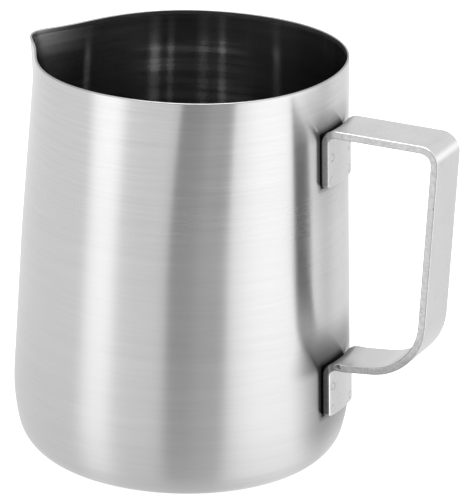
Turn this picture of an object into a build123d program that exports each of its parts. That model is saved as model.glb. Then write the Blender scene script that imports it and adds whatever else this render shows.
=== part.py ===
from build123d import *
import math
import os

# Milk frothing pitcher: a deep-drawn stainless steel body with a pressed pouring
# spout, and a bent flat-bar handle whose two feet are spot-welded to the wall.
# Millimetres. The origin is the centre of the base on the surface it rests on,
# +Z is up, the handle points along +X and the spout along -X.

# ---- Body -------------------------------------------------------------------
rim_height = 132.35       # trimmed rim above the base, measured on the axis
belly_radius = 54.2       # widest outer radius, just above the bottom corner
wall_draft = 2.25         # degrees the wall leans inward towards the rim
wall = 0.7                # sheet thickness
heel_radius = 60.0        # soft curve between the straight wall and the corner
heel_angle = 14.0         # degrees of that curve below the widest point
toe_radius = 13.0         # bottom corner
rim_tilt = 1.12           # degrees the rim plane falls towards the spout

# The base stands on a flat ring round a shallow pressed-up panel.
panel_rise = 0.9
panel_slope_width = 3.0
land_width = 6.0

# ---- Spout ------------------------------------------------------------------
spout_start = 70.7        # height where the wall starts to leave its cone
spout_reach = 5.67        # how far the nose stands out past the wall at the rim
nose_width = 9.5          # plan angle that scales the nose
nose_fullness = 1.335     # below 1 the flanks stay full, above it they draw in
rim_shrink = 1.22         # radius that the round part of the rim gives to the spout
rim_shift = 1.26          # travel of the round part's centre towards the handle
rim_squareness = 1.05     # how far the rim bulges at the diagonals
settle_fade = 1.5         # power of the round part's settling, from the start to the rim
spout_fade = 2.0          # power of the nose's growth, from the start to the rim
section_count = 7
outline_points = 96       # round each section
trim_allowance = 4.0      # height drawn above the rim before it is trimmed

# ---- Handle -----------------------------------------------------------------
strap_width = 18.2
strap_thickness = 2.46
upper_arm_height = 117.25
upper_arm_reach = 37.9    # from the wall to the grip's bend line, at the upper arm
grip_lean = 2.9           # how much less far out the grip is at its lower bend
lower_arm_height = 40.2   # at the wall
lower_arm_rise = 2.6      # the lower arm climbs towards the grip
lower_root_length = 6.0   # level stretch of the lower arm next to the wall
upper_grip_bend = 5.0     # centreline radii of the bends
lower_grip_bend = 18.6
root_bend = 20.0
foot_bend = 3.6
upper_foot_length = 18.15  # from the arm's centreline down to the foot's end
lower_foot_length = 17.4
foot_corner = 1.5         # rounded lower corners of each foot
foot_sweep = 15.0         # half angle of the ring that a foot is cut from
arm_overlap = 0.8         # length that a foot's bend and its arm share

# ---- Spot welds -------------------------------------------------------------
weld_radius = 2.0
weld_in_wall = 0.4        # penetration into the wall
weld_in_foot = 0.9        # penetration into the foot
weld_pitch_across = 13.2
weld_pitch_up = 7.4
weld_first_row = 2.4      # above the foot's lower end
mark_radius = 1.6         # shallow electrode mark on the foot's face
mark_depth = 0.15

# ---- Body geometry ----------------------------------------------------------
draft = math.radians(wall_draft)
heel = math.radians(heel_angle)
belly_height = toe_radius * (1 - math.sin(heel)) + heel_radius * math.sin(heel)
cone_height = belly_height + heel_radius * math.sin(draft)
cone_radius = belly_radius - heel_radius * (1 - math.cos(draft))
toe_top_radius = belly_radius - heel_radius * (1 - math.cos(heel))
toe_top_height = toe_radius * (1 - math.sin(heel))
base_radius = toe_top_radius - toe_radius * math.cos(heel)


def wall_radius(height):
    """Outer radius of the straight wall at a height."""
    return cone_radius - (height - cone_height) * math.tan(draft)


def wall_normal(angle):
    """Outward normal of the cone at a plan angle, which leans up by the draft."""
    return Vector(
        math.cos(draft) * math.cos(angle),
        math.cos(draft) * math.sin(angle),
        math.sin(draft),
    )


def lower_section(inset):
    """Half section below the spout, set in from the outer face by inset."""
    cone_in = inset * math.cos(draft)
    cone_up = inset * math.sin(draft)
    heel_in = inset * math.cos(heel)
    heel_up = inset * math.sin(heel)
    panel_radius = base_radius - land_width
    panel_top_radius = panel_radius - panel_slope_width
    top_radius = wall_radius(spout_start) - inset / math.cos(draft)
    with BuildSketch(Plane.XZ) as section:
        with BuildLine():
            Line((0, inset + panel_rise), (panel_top_radius, inset + panel_rise))
            Spline(
                (panel_top_radius, inset + panel_rise),
                (panel_radius, inset),
                tangents=((1, 0), (1, 0)),
            )
            Line((panel_radius, inset), (base_radius, inset))
            RadiusArc(
                (base_radius, inset),
                (toe_top_radius - heel_in, toe_top_height + heel_up),
                -(toe_radius - inset),
            )
            RadiusArc(
                (toe_top_radius - heel_in, toe_top_height + heel_up),
                (cone_radius - cone_in, cone_height - cone_up),
                -(heel_radius - inset),
            )
            Polyline(
                (cone_radius - cone_in, cone_height - cone_up),
                (top_radius, spout_start),
                (0, spout_start),
                (0, inset + panel_rise),
            )
        make_face()
    return section.sketch


def wall_point(height, turn):
    """Point of the outer face at a height and a plan angle, measured from the spout.

    The round part shrinks a little, moves towards the handle and bulges at its
    diagonals. The nose is a hyperbolic secant of the angle, raised to its fullness.
    """
    rise = max(height - spout_start, 0) / (rim_height - spout_start)
    settled = rise**settle_fade
    pressed = rise**spout_fade
    nose = math.cosh(turn / math.radians(nose_width)) ** -nose_fullness
    radius = wall_radius(height) - rim_shrink * settled
    radius += rim_squareness * pressed * math.sin(2 * turn) ** 2
    radius += (spout_reach + rim_shrink + rim_shift) * pressed * nose
    return Vector(rim_shift * settled - radius * math.cos(turn), radius * math.sin(turn))


def spout_section(height, inset):
    """Plan outline at a height in the spout's range, from the handle's side round."""
    skin = inset / math.cos(draft)
    step = math.pi / outline_points
    points = []
    for i in range(outline_points):
        turn = math.pi - 2 * i * step
        along = wall_point(height, turn - step / 10) - wall_point(height, turn + step / 10)
        outward = Vector(along.Y, -along.X).normalized()
        points.append(wall_point(height, turn) - outward * skin)
    with BuildSketch(Plane.XY.offset(height)) as section:
        if height > spout_start:
            with BuildLine():
                Spline(points, periodic=True)
            make_face()
        else:
            Circle(wall_radius(height) - skin)
    return section.sketch


def vessel(inset):
    """Solid bounded by the body's face set in by inset, a little over the rim."""
    step = (rim_height + trim_allowance - spout_start) / (section_count - 1)
    sections = [spout_section(spout_start + i * step, inset) for i in range(section_count)]
    with BuildPart() as solid:
        revolve(lower_section(inset), axis=Axis.Z)
        loft(sections)
    return solid.part


outside = vessel(0)
rim_plane = Plane(origin=(0, 0, rim_height)).rotated((0, -rim_tilt, 0))

# ---- Weld places ------------------------------------------------------------
upper_foot_end = upper_arm_height - upper_foot_length
lower_foot_end = lower_arm_height - lower_foot_length


def weld_plane(foot_end, row, side):
    """Plane on the wall at a weld, with its normal pointing out through the foot."""
    height = foot_end + weld_first_row + row * weld_pitch_up
    radius = wall_radius(height)
    angle = math.asin(side * weld_pitch_across / 2 / radius)
    point = (radius * math.cos(angle), radius * math.sin(angle), height)
    return Plane(origin=point, z_dir=wall_normal(angle))


weld_planes = {}
for foot_name, foot_end in (("upper", upper_foot_end), ("lower", lower_foot_end)):
    number = 0
    for row in (0, 1):
        for side in (-1, 1):
            number += 1
            weld_planes[f"weld_{foot_name}_{number}"] = weld_plane(foot_end, row, side)

welds = {}
for weld_name, place in weld_planes.items():
    with BuildPart(place.offset(-weld_in_wall)) as weld:
        Cylinder(
            weld_radius,
            weld_in_wall + weld_in_foot,
            align=(Align.CENTER, Align.CENTER, Align.MIN),
        )
    weld.part.label = weld_name
    welds[weld_name] = weld.part

# The welding electrodes leave a shallow round mark on the foot over each weld.
electrode_marks = []
for place in weld_planes.values():
    with BuildPart(place.offset(strap_thickness - mark_depth)) as mark:
        Cylinder(
            mark_radius,
            strap_thickness,
            align=(Align.CENTER, Align.CENTER, Align.MIN),
        )
    electrode_marks.append(mark.part)

# ---- Pitcher body -----------------------------------------------------------
with BuildPart() as pitcher_body:
    add(outside)
    add(vessel(wall), mode=Mode.SUBTRACT)
    split(bisect_by=rim_plane, keep=Keep.BOTTOM)
    for weld_solid in welds.values():
        add(weld_solid, mode=Mode.SUBTRACT)
pitcher_body.part.label = "pitcher_body"

# ---- Handle -----------------------------------------------------------------
# Each foot is a piece of a ring about the body's axis, so that its back lies on
# the wall, trimmed to the strap's width. The ring's bend runs level into the arm.


def foot(arm_height, length):
    """Foot and bend below one arm, with its lower corners rounded."""
    end_height = arm_height - length
    lean = math.tan(draft)
    half = strap_thickness / 2 / math.cos(draft)
    bottom = end_height - strap_thickness
    root = (wall_radius(arm_height) + half, arm_height)
    with BuildPart() as ring:
        with BuildSketch(Plane.XZ.rotated((0, 0, -foot_sweep))):
            with BuildLine() as line:
                FilletPolyline(
                    (root[0] + length * lean + strap_thickness * lean, bottom),
                    root,
                    (root[0] + foot_bend + arm_overlap, arm_height),
                    radius=foot_bend,
                )
            trace(line.line, line_width=strap_thickness)
        revolve(axis=Axis.Z, revolution_arc=2 * foot_sweep)
        with BuildSketch(Plane.YZ):
            with Locations((0, end_height + length)):
                RectangleRounded(strap_width, 2 * length, foot_corner)
        extrude(amount=2 * belly_radius, mode=Mode.INTERSECT)
    return ring.part


upper_root = wall_radius(upper_arm_height) + strap_thickness / 2
lower_root = wall_radius(lower_arm_height) + strap_thickness / 2
grip_top = wall_radius(upper_arm_height) + upper_arm_reach
with BuildPart() as handle_strap:
    with BuildLine(Plane.XZ) as grip_line:
        FilletPolyline(
            (upper_root + foot_bend, upper_arm_height),
            (grip_top, upper_arm_height),
            (grip_top - grip_lean, lower_arm_height + lower_arm_rise),
            (lower_root + lower_root_length, lower_arm_height),
            (lower_root + foot_bend, lower_arm_height),
            radius=(upper_grip_bend, lower_grip_bend, root_bend),
        )
    with BuildSketch(Plane(origin=grip_line.line @ 0, z_dir=grip_line.line % 0, x_dir=(0, 1, 0))):
        Rectangle(strap_width, strap_thickness)
    sweep()
    add(foot(upper_arm_height, upper_foot_length))
    add(foot(lower_arm_height, lower_foot_length))
    add(outside, mode=Mode.SUBTRACT)
    for weld_solid in welds.values():
        add(weld_solid, mode=Mode.SUBTRACT)
    for mark_solid in electrode_marks:
        add(mark_solid, mode=Mode.SUBTRACT)
handle_strap.part.label = "handle_strap"

os.makedirs("parts", exist_ok=True)
export_step(pitcher_body.part, "parts/pitcher_body.step")
export_step(handle_strap.part, "parts/handle_strap.step")
for weld_name, weld_solid in welds.items():
    export_step(weld_solid, f"parts/{weld_name}.step")
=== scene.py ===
import math

import bmesh
import bpy
import numpy as np
from mathutils import Matrix, Vector


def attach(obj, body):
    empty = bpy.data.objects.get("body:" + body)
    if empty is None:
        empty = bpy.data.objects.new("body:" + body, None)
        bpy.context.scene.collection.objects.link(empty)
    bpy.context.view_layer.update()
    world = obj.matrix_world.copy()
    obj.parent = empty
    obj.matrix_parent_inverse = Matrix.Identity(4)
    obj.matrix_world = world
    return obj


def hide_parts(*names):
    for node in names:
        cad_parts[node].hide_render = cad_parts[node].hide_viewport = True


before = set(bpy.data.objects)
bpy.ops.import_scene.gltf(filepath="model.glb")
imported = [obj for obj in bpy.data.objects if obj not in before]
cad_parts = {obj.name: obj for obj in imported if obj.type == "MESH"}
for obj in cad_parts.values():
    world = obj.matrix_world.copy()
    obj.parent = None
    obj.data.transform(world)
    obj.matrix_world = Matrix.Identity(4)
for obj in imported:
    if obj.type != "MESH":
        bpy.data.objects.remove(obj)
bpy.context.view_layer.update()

# ---- Pitcher body ------------------------------------------------------------
# One shell of 0.7 mm stainless sheet, deep-drawn to a tapered jug, trimmed at a
# slightly sloping rim, with the spout pressed out of the wall afterwards. The
# outside is brushed in a lathe; the inside keeps its drawn finish, its colour darkened as painted shade and
# carrying painted streaks of reflection.

MM = 0.001
RIM_HEIGHT = 132.35
BELLY_RADIUS = 54.2
WALL = 0.7
DRAFT = math.radians(2.25)
HEEL_RADIUS = 60.0
HEEL_ANGLE = math.radians(14.0)
TOE_RADIUS = 13.0
RIM_TILT = math.radians(1.12)
PANEL_RISE = 0.9
PANEL_SLOPE_WIDTH = 3.0
LAND_WIDTH = 6.0
SPOUT_START = 70.7
SPOUT_REACH = 5.67
NOSE_WIDTH = math.radians(9.5)
NOSE_FULLNESS = 1.335
RIM_SHRINK = 1.22
RIM_SHIFT = 1.26
RIM_SQUARENESS = 1.05
SETTLE_FADE = 1.5
SPOUT_FADE = 2.0

BELLY_HEIGHT = TOE_RADIUS * (1 - math.sin(HEEL_ANGLE)) + HEEL_RADIUS * math.sin(HEEL_ANGLE)
CONE_HEIGHT = BELLY_HEIGHT + HEEL_RADIUS * math.sin(DRAFT)
CONE_RADIUS = BELLY_RADIUS - HEEL_RADIUS * (1 - math.cos(DRAFT))
TOE_TOP_RADIUS = BELLY_RADIUS - HEEL_RADIUS * (1 - math.cos(HEEL_ANGLE))
BASE_RADIUS = TOE_TOP_RADIUS - TOE_RADIUS * math.cos(HEEL_ANGLE)

# Mesh rows up the spout's range and over the rim's edge, and columns round the body.
COLUMNS = 400
SPOUT_ROWS = 45
RIM_ROWS = 10

# The handle's feet, round which the wall carries painted shade and painted dark reflections.
STRAP_WIDTH = 18.2
UPPER_ARM_HEIGHT = 117.25
UPPER_FOOT_LENGTH = 18.15
LOWER_ARM_HEIGHT = 40.2
LOWER_FOOT_LENGTH = 17.4


def wall_radius(height):
    """Outer radius of the cone: it falls by the tangent of the draft per unit of height."""
    return CONE_RADIUS - (height - CONE_HEIGHT) * math.tan(DRAFT)


def lower_profile(inset, panel_rows=7, step_rows=12, land_rows=5, toe_rows=25, heel_rows=9, cone_rows=13):
    """Radius and height from the centre of the base up to where the spout starts.

    A flat panel, an S-shaped step of one cosine half wave down to the land, the toe
    arc, the heel arc and the cone, each moved inwards along its normal by inset.
    """
    panel = BASE_RADIUS - LAND_WIDTH - PANEL_SLOPE_WIDTH
    step = np.linspace(0, 1, step_rows)
    toe = np.linspace(-math.pi / 2, -HEEL_ANGLE, toe_rows + 1)[1:]
    heel = np.linspace(-HEEL_ANGLE, DRAFT, heel_rows + 1)[1:]
    cone = np.linspace(0, 1, cone_rows + 1)[1:]
    top_radius = wall_radius(SPOUT_START) - inset / math.cos(DRAFT)
    heel_r = BELLY_RADIUS - HEEL_RADIUS + (HEEL_RADIUS - inset) * np.cos(heel)
    heel_z = BELLY_HEIGHT + (HEEL_RADIUS - inset) * np.sin(heel)
    radius = np.concatenate([
        np.linspace(0, panel, panel_rows + 1)[:-1],
        panel + PANEL_SLOPE_WIDTH * step,
        np.linspace(BASE_RADIUS - LAND_WIDTH, BASE_RADIUS, land_rows + 1)[1:],
        BASE_RADIUS + (TOE_RADIUS - inset) * np.cos(toe),
        heel_r,
        heel_r[-1] + (top_radius - heel_r[-1]) * cone,
    ])
    height = np.concatenate([
        np.full(panel_rows, inset + PANEL_RISE),
        inset + PANEL_RISE * (0.5 + 0.5 * np.cos(math.pi * step)),
        np.full(land_rows, inset),
        TOE_RADIUS + (TOE_RADIUS - inset) * np.sin(toe),
        heel_z,
        heel_z[-1] + (SPOUT_START - heel_z[-1]) * cone,
    ])
    return radius, height


def wall_point(height, turn):
    """Place in plan of the outer face at a height and an angle round from the spout.

    The round part shrinks, moves towards the handle and bulges at its diagonals. The
    nose is a hyperbolic secant of the angle, raised to its fullness.
    """
    rise = np.clip((height - SPOUT_START) / (RIM_HEIGHT - SPOUT_START), 0, None)
    settled = rise**SETTLE_FADE
    pressed = rise**SPOUT_FADE
    nose = np.cosh(turn / NOSE_WIDTH) ** -NOSE_FULLNESS
    radius = wall_radius(height) - RIM_SHRINK * settled + RIM_SQUARENESS * pressed * np.sin(2 * turn) ** 2
    radius = radius + (SPOUT_REACH + RIM_SHRINK + RIM_SHIFT) * pressed * nose
    return RIM_SHIFT * settled - radius * np.cos(turn), radius * np.sin(turn)


def plan_point(height, inset, turn):
    """The outer face moved in along its own plan normal, by the inset over the cosine of the draft."""
    tiny = 0.001
    x, y = wall_point(height, turn)
    ahead_x, ahead_y = wall_point(height, turn + tiny)
    behind_x, behind_y = wall_point(height, turn - tiny)
    along_x = ahead_x - behind_x
    along_y = ahead_y - behind_y
    skin = inset / math.cos(DRAFT) / np.hypot(along_x, along_y)
    return x + along_y * skin, y - along_x * skin


def hoops(radius, height, angle):
    """Circles of the given radii at the given heights, one row each."""
    x = -radius[:, None] * np.cos(angle)
    y = radius[:, None] * np.sin(angle)
    return np.stack([x, y, np.broadcast_to(height[:, None], x.shape)], -1)


def wall_rows(height, inset, angle):
    """Spout sections at the given heights, one row each."""
    x, y = plan_point(height, inset, angle)
    return np.stack([x, y, np.broadcast_to(height, x.shape)], -1)


def body_surface():
    """The whole skin of the shell as rows of points, from the middle of the underside,
    up the outside, over the half-round rim and down the inside to the middle of the floor.

    The rim's height at each angle solves height = rim height + tan(tilt) * x by repetition.
    """
    angle = np.linspace(-math.pi, math.pi, COLUMNS + 1)[:-1]
    rim = np.full(COLUMNS, RIM_HEIGHT)
    for _ in range(5):
        rim = RIM_HEIGHT + math.tan(RIM_TILT) * plan_point(rim, 0, angle)[0]
    edge = WALL / 2
    climb = np.linspace(0, 1, SPOUT_ROWS + 1)[1:, None]
    side = SPOUT_START + (rim - edge - SPOUT_START) * climb
    turn = np.linspace(0, math.pi, RIM_ROWS + 2)[1:-1, None]
    over = rim - edge + edge * np.sin(turn)
    return np.concatenate([
        hoops(*lower_profile(0), angle),
        wall_rows(side, 0, angle),
        wall_rows(over, edge * (1 - np.cos(turn)), angle),
        wall_rows(side, WALL, angle)[::-1],
        hoops(*lower_profile(WALL), angle)[::-1],
    ])


def skin_mesh(name, points):
    """Mesh over rows of points in millimetres, closed around its columns.

    The UV map holds the share of the way across the row, and in metres the distance
    along the rows.
    """
    rows, columns = points.shape[:2]
    index = np.arange(rows * columns).reshape(rows, columns)
    right = np.roll(index, -1, 1)
    quads = np.stack([index[:-1], right[:-1], right[1:], index[1:]], -1).reshape(-1, 4)
    mesh = bpy.data.meshes.new(name)
    mesh.vertices.add(rows * columns)
    mesh.vertices.foreach_set("co", (points * MM).reshape(-1))
    mesh.loops.add(quads.size)
    mesh.loops.foreach_set("vertex_index", quads.reshape(-1))
    mesh.polygons.add(len(quads))
    mesh.polygons.foreach_set("loop_start", np.arange(len(quads)) * 4)
    mesh.polygons.foreach_set("use_smooth", np.ones(len(quads), bool))
    mesh.update(calc_edges=True)
    step = np.linalg.norm(np.diff(points, axis=0), axis=2).mean(1)
    along = np.concatenate([[0], np.cumsum(step)]) * MM
    across = np.arange(columns + 1) / columns
    row = np.repeat(np.arange(rows - 1), columns)
    column = np.tile(np.arange(columns), rows - 1)
    u = np.stack([across[column], across[column + 1], across[column + 1], across[column]], -1)
    v = np.stack([along[row], along[row], along[row + 1], along[row + 1]], -1)
    layer = mesh.uv_layers.new(name="surface")
    layer.data.foreach_set("uv", np.stack([u, v], -1).reshape(-1))
    return mesh


def close_mesh(mesh):
    """Merges coincident points, drops the faces that had no area and turns all faces outwards."""
    work = bmesh.new()
    work.from_mesh(mesh)
    bmesh.ops.remove_doubles(work, verts=work.verts, dist=1e-7)
    bmesh.ops.dissolve_degenerate(work, edges=work.edges, dist=1e-8)
    if work.calc_volume(signed=True) < 0:
        bmesh.ops.reverse_faces(work, faces=work.faces)
    work.to_mesh(mesh)
    work.free()


def place(name, mesh, node):
    """Object for a finished mesh, riding on the one body in place of a CAD node."""
    piece = bpy.data.objects.new(name, mesh)
    bpy.context.collection.objects.link(piece)
    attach(piece, "root")
    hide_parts(node)


class Flow:
    """A value in a node tree: arithmetic on it adds Math nodes."""

    def __init__(self, tree, source):
        self.tree = tree
        self.source = source

    @classmethod
    def make(cls, tree, kind, settings=None, values=None, output=0):
        """Adds a node, sets it up, fills or links its sockets and returns one output."""
        made = tree.nodes.new(kind)
        for key, value in (settings or {}).items():
            setattr(made, key, value)
        for key, value in (values or {}).items():
            if isinstance(value, Flow):
                value.into(made.inputs[key])
            else:
                made.inputs[key].default_value = value
        return cls(tree, made.outputs[output])

    def into(self, socket):
        """Links this value to a socket."""
        self.tree.links.new(self.source, socket)

    def axes(self):
        """The x, y and z of a vector."""
        return [Flow.make(self.tree, "ShaderNodeSeparateXYZ", values={0: self}, output=i) for i in range(3)]

    def math(self, operation, *others):
        values = dict(enumerate((self, *others)))
        return Flow.make(self.tree, "ShaderNodeMath", {"operation": operation}, values)

    def between(self, low, high):
        """Smooth step from 0 at low to 1 at high."""
        values = {0: self, 1: low, 2: high, 3: 0.0, 4: 1.0}
        return Flow.make(self.tree, "ShaderNodeMapRange", {"interpolation_type": "SMOOTHSTEP"}, values)

    def __add__(self, other):
        return self.math("ADD", other)

    def __sub__(self, other):
        return self.math("SUBTRACT", other)

    def __rsub__(self, other):
        return self * -1.0 + other

    def __mul__(self, other):
        return self.math("MULTIPLY", other)

    def __truediv__(self, other):
        return self.math("DIVIDE", other)

    def __abs__(self):
        return self.math("ABSOLUTE")

    __radd__ = __add__
    __rmul__ = __mul__


def new_material(name):
    """Empty material with its tree and shader."""
    material = bpy.data.materials.new(name)
    material.use_nodes = True
    tree = material.node_tree
    tree.nodes.clear()
    shader = tree.nodes.new("ShaderNodeBsdfPrincipled")
    output = tree.nodes.new("ShaderNodeOutputMaterial")
    tree.links.new(shader.outputs[0], output.inputs["Surface"])
    return material, tree, shader


def noise(tree, vector, scale, detail, roughness):
    """Noise from 0 to 1 at a vector."""
    values = {"Vector": vector, "Scale": scale, "Detail": detail, "Roughness": roughness}
    return Flow.make(tree, "ShaderNodeTexNoise", values=values)


def grey(tree, value):
    """Neutral colour of a varying value."""
    return Flow.make(tree, "ShaderNodeCombineColor", values={0: value, 1: value, 2: value})


def object_place(tree):
    """Object coordinates as a vector and as x, y and z in millimetres."""
    vector = Flow.make(tree, "ShaderNodeTexCoord", output="Object")
    return vector, [axis / MM for axis in vector.axes()]


def hoop_lines(tree, lengthwise, crosswise):
    """Noise drawn out round the axis: slow in plan, fast along the wall's own profile.

    The two rates are in cycles per metre.
    """
    x, y, _ = object_place(tree)[1]
    _, along, _ = Flow.make(tree, "ShaderNodeUVMap", {"uv_map": "surface"}).axes()
    values = {0: x * (lengthwise * MM), 1: y * (lengthwise * MM), 2: along * crosswise}
    vector = Flow.make(tree, "ShaderNodeCombineXYZ", values=values)
    return noise(tree, vector, 1.0, 2.0, 0.6)


def box_distance(across, up, half_width, low, high):
    """Distance outside a rectangle: the length of what each coordinate has over its half size."""
    over_across = (abs(across) - half_width).math("MAXIMUM", 0.0)
    over_up = (abs(up - (low + high) / 2) - (high - low) / 2).math("MAXIMUM", 0.0)
    return (over_across * over_across + over_up * over_up).math("SQRT")


def brushed_steel(name, shade, contrast, rough, rough_spread, bump, anisotropy, finish):
    """Steel turned under an abrasive belt: fine hoops in colour, gloss and height.

    finish takes the tree, the tone and the gloss and returns them with what is special
    to one side of the sheet.
    """
    material, tree, shader = new_material(name)
    fine = hoop_lines(tree, 45.0, 1150.0)
    broad = hoop_lines(tree, 9.0, 420.0)
    cloud = noise(tree, object_place(tree)[0], 28.0, 2.0, 0.5) - 0.5
    lines = fine * 0.6 + broad * 0.4 - 0.5
    tone = shade + lines * contrast + cloud * (contrast * 0.4)
    gloss = rough + lines * rough_spread + cloud * (rough_spread * 0.5)
    tone, gloss = finish(tree, tone, gloss)
    grey(tree, tone).into(shader.inputs["Base Color"])
    gloss.into(shader.inputs["Roughness"])
    ridge = Flow.make(tree, "ShaderNodeBump", values={"Height": fine, "Strength": 1.0, "Distance": bump})
    ridge.into(shader.inputs["Normal"])
    shader.inputs["Metallic"].default_value = 1.0
    shader.inputs["Anisotropic"].default_value = anisotropy
    shader.inputs["Anisotropic Rotation"].default_value = 0.25
    return material


def plain_finish(tree, tone, gloss):
    return tone, gloss


def outer_shade_and_finish(tree, tone, gloss):
    """Painted shade where each foot meets the wall, painted dark reflections of the feet and arms on the wall
    round them, and a coarser finish towards the base."""
    x, y, z = object_place(tree)[1]
    handle_side = x.between(30.0, 40.0)
    upper = (UPPER_ARM_HEIGHT, UPPER_FOOT_LENGTH, 9.0, 0.38, 0.10)
    lower = (LOWER_ARM_HEIGHT, LOWER_FOOT_LENGTH, 17.0, 0.52, 0.36)
    for arm_height, foot_length, shadow_reach, shadow, broad_reflection_strength in (upper, lower):
        foot_top = arm_height - 0.75
        # Painted shade along each foot's edge, and painted dark reflections of the foot beside it, of the arm
        # above it and of the handle in a broad zone round it.
        beside = box_distance(y, z, STRAP_WIDTH / 2 - 0.1, arm_height - foot_length, foot_top)
        crevice_shade = beside.between(0.75, 0.2) * handle_side
        foot_reflection = beside.between(2.6, 0.6) * handle_side
        arm_reflection = beside.between(shadow_reach, 0.5) * z.between(foot_top - 3.0, foot_top + 1.0) * handle_side
        around = beside.between(16.0, 2.0) * handle_side
        tone = tone * (1 - foot_reflection * 0.42) * (1 - arm_reflection * shadow) * (1 - crevice_shade * 0.9) * (1 - around * broad_reflection_strength)
    return tone, gloss + z.between(75.0, 8.0) * 0.09 - z.between(75.0, 125.0) * 0.05


def inner_painted_light(tree, tone, gloss):
    """Painted streaks of reflection that run up the upper wall over a broad painted glow, both weaker in a
    band under the rim, and a painted highlight high in the spout.

    Each painted streak is given by its angle round from the handle, its half width and its strength.
    """
    x, y, z = object_place(tree)[1]
    from_handle = abs(y).math("ARCTAN2", x) * (180 / math.pi)
    below_band = z.between(125.5, 118.0)
    upper_wall = z.between(62.0, 90.0)
    broken = hoop_lines(tree, 20.0, 620.0).between(0.40, 0.60)
    patches = hoop_lines(tree, 30.0, 60.0).between(0.38, 0.62)
    # Painted glow and painted streaks of reflection on the upper inside wall, weaker under the rim.
    painted_glow = abs(from_handle - 113.0).between(30.0, 10.0)
    painted_streaks = painted_glow * below_band * (0.12 + broken * 0.26)
    for angle, half_width, strength in (
        (128.1, 1.6, 0.9),
        (122.0, 1.0, 0.6),
        (109.7, 1.5, 0.5),
        (102.3, 1.1, 0.7),
        (157.0, 1.2, 0.5),
        (79.8, 1.3, 0.5),
    ):
        painted_streak = abs(from_handle - angle).between(half_width * 2.2, half_width * 0.1)
        painted_streaks = painted_streaks + painted_streak * strength * (0.25 + below_band * 0.75)
    # Painted highlight high in the spout.
    throat_highlight = from_handle.between(150.0, 172.0) * z.between(120.0, 130.0) * 0.5
    shine = (painted_streaks * (0.35 + patches * 0.75) + throat_highlight) * (0.85 + broken * 0.15)
    return tone + shine * upper_wall * 0.7, gloss + painted_streaks * upper_wall * 0.05


body_mesh = skin_mesh("pitcher_body_skin", body_surface())
outside_rows = len(lower_profile(0)[0]) + SPOUT_ROWS
face_row = np.arange(len(body_mesh.polygons)) // COLUMNS
inside_face = face_row > outside_rows + RIM_ROWS
rim_face = (face_row >= outside_rows - 1) & ~inside_face
body_mesh.polygons.foreach_set("material_index", (inside_face + 2 * rim_face).astype(np.int32))
close_mesh(body_mesh)
# The outside's colour carries painted shade and painted dark reflections round the handle's feet.
body_mesh.materials.append(
    brushed_steel("brushed_outside", 0.57, 0.12, 0.29, 0.10, 0.0000008, 0.95, outer_shade_and_finish)
)
# The inside's dark base colour is painted shade, standing in for the shade inside the jug.
body_mesh.materials.append(
    brushed_steel("drawn_inside", 0.15, 0.16, 0.24, 0.06, 0.000001, 0.9, inner_painted_light)
)
# The rim's darker base colour is painted shade, standing in for its darker reflection.
body_mesh.materials.append(
    brushed_steel("trimmed_rim", 0.36, 0.06, 0.30, 0.06, 0.000002, 0.0, plain_finish)
)
place("pitcher_shell", body_mesh, "pitcher_body")

# ---- Handle ------------------------------------------------------------------
# A flat bar about 18 by 2.5 mm, bent cold into two arms and a grip. Its ends are
# turned down and pressed round the wall as feet, and its long edges are broken.

STRAP_THICKNESS = 2.46
EDGE_ROUND = 0.4
UPPER_ARM_REACH = 37.9
GRIP_LEAN = 2.9
LOWER_ARM_RISE = 2.6
LOWER_ROOT_LENGTH = 6.0
FOOT_BEND = 3.6
UPPER_GRIP_BEND = 5.0
LOWER_GRIP_BEND = 18.6
ROOT_BEND = 20.0
FOOT_CORNER = 1.5
WELD_PITCH_ACROSS = 13.2
WELD_PITCH_UP = 7.4
WELD_FIRST_ROW = 2.4
WELD_ROWS = (WELD_FIRST_ROW, WELD_FIRST_ROW + WELD_PITCH_UP)


def strap_corners():
    """Corners of the bar's centreline in the plane of the handle, and the bend at each."""
    half = STRAP_THICKNESS / 2 / math.cos(DRAFT)
    lean = math.tan(DRAFT)
    upper = wall_radius(UPPER_ARM_HEIGHT) + half
    lower = wall_radius(LOWER_ARM_HEIGHT) + half
    grip = wall_radius(UPPER_ARM_HEIGHT) + UPPER_ARM_REACH
    corners = [
        (upper + UPPER_FOOT_LENGTH * lean, UPPER_ARM_HEIGHT - UPPER_FOOT_LENGTH),
        (upper, UPPER_ARM_HEIGHT),
        (grip, UPPER_ARM_HEIGHT),
        (grip - GRIP_LEAN, LOWER_ARM_HEIGHT + LOWER_ARM_RISE),
        (lower + LOWER_ROOT_LENGTH, LOWER_ARM_HEIGHT),
        (lower, LOWER_ARM_HEIGHT),
        (lower + LOWER_FOOT_LENGTH * lean, LOWER_ARM_HEIGHT - LOWER_FOOT_LENGTH),
    ]
    return np.array(corners), (FOOT_BEND, UPPER_GRIP_BEND, LOWER_GRIP_BEND, ROOT_BEND, FOOT_BEND)


def bent_line(corners, bends, points_per_bend=60):
    """Straight runs joined by tangent arcs, and the length of line up to each point.

    At a corner that turns by t, an arc of radius r starts r * tan(t / 2) before it.
    """
    pieces = [corners[:1]]
    for before, corner, after, radius in zip(corners, corners[1:], corners[2:], bends):
        into = (corner - before) / np.linalg.norm(corner - before)
        out = (after - corner) / np.linalg.norm(after - corner)
        turn = math.atan2(into[0] * out[1] - into[1] * out[0], into @ out)
        start = corner - into * radius * math.tan(abs(turn) / 2)
        side = np.array([-into[1], into[0]]) * math.copysign(1, turn)
        t = np.linspace(0, abs(turn), points_per_bend)[:, None]
        pieces.append(start + radius * (into * np.sin(t) + side * (1 - np.cos(t))))
    pieces.append(corners[-1:])
    line = np.concatenate(pieces)
    run = np.concatenate([[0], np.cumsum(np.linalg.norm(np.diff(line, axis=0), axis=1))])
    return line, run


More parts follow.
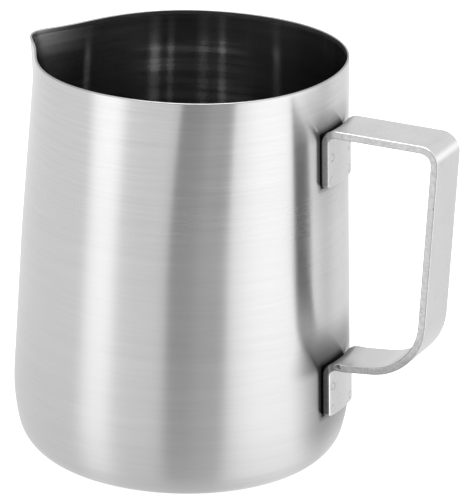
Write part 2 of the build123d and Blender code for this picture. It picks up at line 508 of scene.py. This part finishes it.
def strap_section(face_points=49, side_points=6, corner_points=5):
    """The bar's section, across and through it: a rectangle with quarter-circle corners.

    The second half of the ring is the first half turned by half a turn.
    """
    wide = STRAP_WIDTH / 2 - EDGE_ROUND
    thick = STRAP_THICKNESS / 2 - EDGE_ROUND
    bend = np.linspace(0, math.pi / 2, corner_points + 2)[1:-1]
    across = np.concatenate([
        wide * np.linspace(-1, 1, face_points),
        wide + EDGE_ROUND * np.sin(bend),
        np.full(side_points, wide + EDGE_ROUND),
        wide + EDGE_ROUND * np.cos(bend),
    ])
    through = np.concatenate([
        np.full(face_points, thick + EDGE_ROUND),
        thick + EDGE_ROUND * np.cos(bend),
        thick * np.linspace(1, -1, side_points),
        -thick - EDGE_ROUND * np.sin(bend),
    ])
    return np.concatenate([across, -across]), np.concatenate([through, -through])


def rounded_end(half_size, radius, from_end):
    """Share of a half size that is left near an end whose corner is a quarter circle."""
    into = np.clip(radius - from_end, 0, None)
    return 1 - (radius - np.sqrt(radius**2 - into**2)) / half_size


def weld_marks(s, total, across, through):
    """Electrode marks pressed into the feet, as a shift towards the bar's middle plane.

    Each is a bell-shaped ring about the weld with a shallower bell inside it.
    """
    ring_radius, ring_width, dish_width, depth = 1.5, 0.3, 1.2, 0.04
    shift = np.zeros_like(across)
    for from_end in (s, total - s):
        for row in WELD_ROWS:
            for side in (-1, 1):
                far = np.hypot(from_end[:, None] - row, across - side * WELD_PITCH_ACROSS / 2)
                ring = np.exp(-(((far - ring_radius) / ring_width) ** 2))
                dish = 0.4 * np.exp(-((far / dish_width) ** 2))
                shift = shift + depth * (ring + dish)
    on_face = np.abs(through) > STRAP_THICKNESS / 2 - 0.01
    return np.where(on_face, -np.sign(through) * shift, 0)


def strap_surface(spacing=0.42):
    """The bar's skin: a rounded rectangle carried along the bent line and closed at its ends.

    Near each end the width follows the corner arc of the foot. On the feet and their
    bends a point at a across the bar moves in from x to sqrt(x * x - a * a), which wraps
    the bar round the body's axis, and the wrap eases out along the arms.
    """
    line, run = bent_line(*strap_corners())
    total = run[-1]
    corner = FOOT_CORNER * (1 - np.cos(np.linspace(0, math.pi / 2, 16)))
    end = np.unique(np.concatenate([[0.0, 0.05, 0.15, 0.3], corner]))
    middle = np.arange(FOOT_CORNER + spacing, total - FOOT_CORNER - spacing / 2, spacing)
    s = np.pad(np.concatenate([end, middle, total - end[::-1]]), 1, mode="edge")

    def at(distance):
        return np.stack([np.interp(distance, run, line[:, 0]), np.interp(distance, run, line[:, 1])], -1)

    tangent = at(s + 0.02) - at(s - 0.02)
    tangent /= np.linalg.norm(tangent, axis=1)[:, None]
    from_end = np.minimum(s, total - s)
    width = rounded_end(STRAP_WIDTH / 2, FOOT_CORNER, from_end)
    thickness = rounded_end(STRAP_THICKNESS / 2, EDGE_ROUND, from_end)
    thickness[[0, -1]] = 0
    section_across, section_through = strap_section()
    across = width[:, None] * section_across
    through = thickness[:, None] * section_through
    through = through + weld_marks(s, total, across, through)
    x = at(s)[:, :1] - tangent[:, 1:] * through
    z = at(s)[:, 1:] + tangent[:, :1] * through
    past_upper_foot = np.clip((s - UPPER_FOOT_LENGTH - 1) / 6, 0, 1)
    past_lower_foot = np.clip((total - s - LOWER_FOOT_LENGTH - 1) / 3, 0, 1)
    wrap = 1 - np.minimum(past_upper_foot, past_lower_foot)
    wrap = (wrap * wrap * (3 - 2 * wrap))[:, None]
    x = x - wrap * (x - np.sqrt(np.maximum(x**2 - across**2, 0)))
    return np.stack([x, across, z], -1)


def satin_bar(name):
    """Cold-rolled bar: satin faces, nicked sheared sides darkened by painted shade, most on the lower half,
    and painted shade on the grip's inner face.

    Painted shade darkens the bar where it meets the wall, on its sides near the wall and at the lower arm's
    root, a painted highlight runs along the feet's outer edges, and each weld has left a stained ring.
    """
    material, tree, shader = new_material(name)
    place_xyz, (x, y, z) = object_place(tree)
    cloud = noise(tree, place_xyz, 90.0, 3.0, 0.55) - 0.5
    grain = noise(tree, place_xyz, 900.0, 3.0, 0.6)
    nicks = noise(tree, place_xyz, 330.0, 2.0, 0.5).between(0.68, 0.74)
    patchy = noise(tree, place_xyz, 420.0, 2.0, 0.5).between(0.42, 0.6)
    half_width = STRAP_WIDTH / 2
    side = abs(y).between(half_width - 0.2, half_width - 0.02)
    lower_half = z.between(60.0, 40.0)
    from_wall = (x * x + y * y).math("SQRT") - (CONE_RADIUS - (z - CONE_HEIGHT) * math.tan(DRAFT))
    on_feet = from_wall.between(1.8, 2.2) * from_wall.between(3.4, 3.0)
    # Painted shade where the bar meets the wall.
    crevice_shade = from_wall.between(0.8, 0.15)
    # Painted shade on the sides near the wall.
    shade_near_wall = side * from_wall.between(5.0, 2.0)
    # Painted highlight along the feet's outer edges.
    edge_highlight = abs(abs(y) - (half_width - 0.25)).between(0.4, 0.12)
    edge_highlight = edge_highlight * from_wall.between(2.1, 2.4) * from_wall.between(3.0, 2.6)
    # Painted shade on the lower arm near the wall, off the feet.
    root = from_wall.between(9.0, 1.0) * (1 - on_feet) * lower_half
    # Painted shade on the grip's inner face, which faces the body.
    facing_x = Flow.make(tree, "ShaderNodeNewGeometry", output="Normal").axes()[0]
    grip_inside_shade = facing_x.between(-0.3, -0.8) * x.between(66.0, 72.0)
    stain = 0.0
    for foot_end in (UPPER_ARM_HEIGHT - UPPER_FOOT_LENGTH, LOWER_ARM_HEIGHT - LOWER_FOOT_LENGTH):
        for row in WELD_ROWS:
            across = abs(y) - WELD_PITCH_ACROSS / 2
            up = z - (foot_end + row)
            far = (across * across + up * up).math("SQRT")
            stain = stain + abs(far - 1.15).between(0.5, 0.1) * on_feet
    tone = 0.62 + cloud * 0.10 + (grain - 0.5) * 0.08
    # Painted shade on the sides, deeper on the lower half; their grain and nicks are real.
    tone = tone - side * (0.10 + lower_half * 0.18 + (grain - 0.5) * 0.40 + nicks * 0.22)
    tone = tone * (1 - grip_inside_shade * 0.45) * (1 - stain * patchy * 0.3) * (1 - crevice_shade * 0.85)
    tone = tone * (1 - shade_near_wall * 0.5) * (1 - root * 0.35) + edge_highlight * 0.18
    gloss = 0.30 + cloud * 0.10 + (grain - 0.5) * 0.12 + side * 0.08
    grey(tree, tone).into(shader.inputs["Base Color"])
    gloss.into(shader.inputs["Roughness"])
    ridge = Flow.make(tree, "ShaderNodeBump", values={"Height": grain, "Strength": 1.0, "Distance": 0.000006})
    ridge.into(shader.inputs["Normal"])
    shader.inputs["Metallic"].default_value = 1.0
    return material


strap_mesh = skin_mesh("handle_strap_skin", strap_surface())
close_mesh(strap_mesh)
strap_mesh.materials.append(satin_bar("satin_bar"))
place("handle_bar", strap_mesh, "handle_strap")

# ---- Spot welds --------------------------------------------------------------
# Eight nuggets of metal fused by an electric pulse, partly in the wall and partly
# in the feet. They are hidden between the two, and only their marks show outside.

fused_steel, fused_tree, fused_shader = new_material("fused_steel")
fused_grain = noise(fused_tree, object_place(fused_tree)[0], 1500.0, 3.0, 0.6)
grey(fused_tree, 0.42 + fused_grain * 0.16).into(fused_shader.inputs["Base Color"])
(0.42 + fused_grain * 0.2).into(fused_shader.inputs["Roughness"])
fused_shader.inputs["Metallic"].default_value = 1.0
for foot in ("upper", "lower"):
    for number in (1, 2, 3, 4):
        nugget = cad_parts[f"weld_{foot}_{number}"]
        nugget.data.materials.clear()
        nugget.data.materials.append(fused_steel)

# ---- Floor, light and camera -------------------------------------------------
# A pale floor, one large softbox overhead, and a bright studio with a tall lit
# panel to the left, a broad one to the right and a dark gap behind the camera.

FLOOR_HALF = 6.0
FLOOR_DROP = 0.00005
SOFTBOX_SIZE = 1.4
SOFTBOX_HEIGHT = 1.7
CAMERA_AZIMUTH = 24.86
CAMERA_DISTANCE = 1.52398
CAMERA_HEIGHT = 0.63005
CAMERA_PAN = math.radians(-0.602)
CAMERA_TILT = math.radians(20.276)
CAMERA_ROLL = math.radians(1.53)

floor_mesh = bpy.data.meshes.new("floor")
floor_corners = [(x * FLOOR_HALF, y * FLOOR_HALF, 0) for x, y in ((-1, -1), (1, -1), (1, 1), (-1, 1))]
floor_mesh.from_pydata(floor_corners, [], [(0, 1, 2, 3)])
floor = bpy.data.objects.new("floor", floor_mesh)
floor.location.z = -FLOOR_DROP
bpy.context.collection.objects.link(floor)
floor_paint, floor_tree, floor_shader = new_material("pale_floor")
floor_shader.inputs["Base Color"].default_value = (0.4, 0.4, 0.4, 1)
floor_shader.inputs["Roughness"].default_value = 0.9
floor_shader.inputs["Emission Color"].default_value = (1, 1, 1, 1)
floor_shader.inputs["Emission Strength"].default_value = 0.85
floor_mesh.materials.append(floor_paint)
floor.visible_glossy = False

studio = bpy.data.worlds.new("studio")
bpy.context.scene.world = studio
studio.use_nodes = True
sky = studio.node_tree
sky.nodes.clear()
sky_x, sky_y, sky_z = Flow.make(sky, "ShaderNodeTexCoord", output="Generated").axes()
sky_level = (sky_x * sky_x + sky_y * sky_y).math("SQRT")


def panel(bearing, half_width, softness):
    """Mask of an upright panel, by its bearing in degrees to the right of the camera.

    It compares the cosine of the angle from the panel's middle with those of its two edges.
    """
    angle = math.radians(CAMERA_AZIMUTH - 90 + bearing)
    along = (sky_x * math.cos(angle) + sky_y * math.sin(angle)) / sky_level
    outer = math.cos(math.radians(half_width + softness))
    inner = math.cos(math.radians(max(half_width - softness, 0)))
    return along.between(outer, inner)


walls = (
    1.04
    + panel(-61, 7, 9) * 0.68
    - panel(-22, 12, 10) * 0.07
    - panel(9.1, 20.9, 1.0) * 0.54
    - panel(-4, 9, 8) * 0.12
    + panel(70, 14, 34) * 0.68
    - panel(110, 14, 12) * 0.16
)
above_floor = sky_z.between(-0.85, -0.45)
room = walls * above_floor + (1 - above_floor) * 0.98
strip_light = panel(125, 6, 6) * sky_z.between(-0.15, 0.0) * sky_z.between(0.3, 0.15)
far_shade = panel(180, 30, 15) * sky_z.between(0.1, 0.25)
room = room + strip_light * 0.9 - far_shade * 0.13
camera_ray = Flow.make(sky, "ShaderNodeLightPath", output="Is Camera Ray")
glow = room * (1 - camera_ray) + camera_ray
background = Flow.make(sky, "ShaderNodeBackground", values={"Color": grey(sky, glow)})
background.into(sky.nodes.new("ShaderNodeOutputWorld").inputs["Surface"])

softbox_data = bpy.data.lights.new("softbox", "AREA")
softbox_data.size = SOFTBOX_SIZE
softbox_data.energy = 26.0
softbox = bpy.data.objects.new("softbox", softbox_data)
softbox.location.z = SOFTBOX_HEIGHT
bpy.context.collection.objects.link(softbox)

bearing = math.radians(CAMERA_AZIMUTH)
sight = Vector((
    -math.sin(bearing + CAMERA_PAN) * math.cos(CAMERA_TILT),
    math.cos(bearing + CAMERA_PAN) * math.cos(CAMERA_TILT),
    -math.sin(CAMERA_TILT),
))
level_right = sight.cross(Vector((0, 0, 1))).normalized()
level_up = level_right.cross(sight)
right = math.cos(CAMERA_ROLL) * level_right + math.sin(CAMERA_ROLL) * level_up
up = math.cos(CAMERA_ROLL) * level_up - math.sin(CAMERA_ROLL) * level_right
turned = Matrix((right, up, -sight)).transposed().to_4x4()
turned.translation = (
    CAMERA_DISTANCE * math.sin(bearing),
    -CAMERA_DISTANCE * math.cos(bearing),
    CAMERA_HEIGHT,
)
camera_data = bpy.data.cameras.new("camera")
camera_data.sensor_width = 36.0
camera_data.lens = 365.5
camera_data.clip_end = 50.0
camera = bpy.data.objects.new("camera", camera_data)
camera.matrix_world = turned
bpy.context.collection.objects.link(camera)
bpy.context.scene.camera = camera
bpy.context.scene.view_settings.view_transform = "Standard"
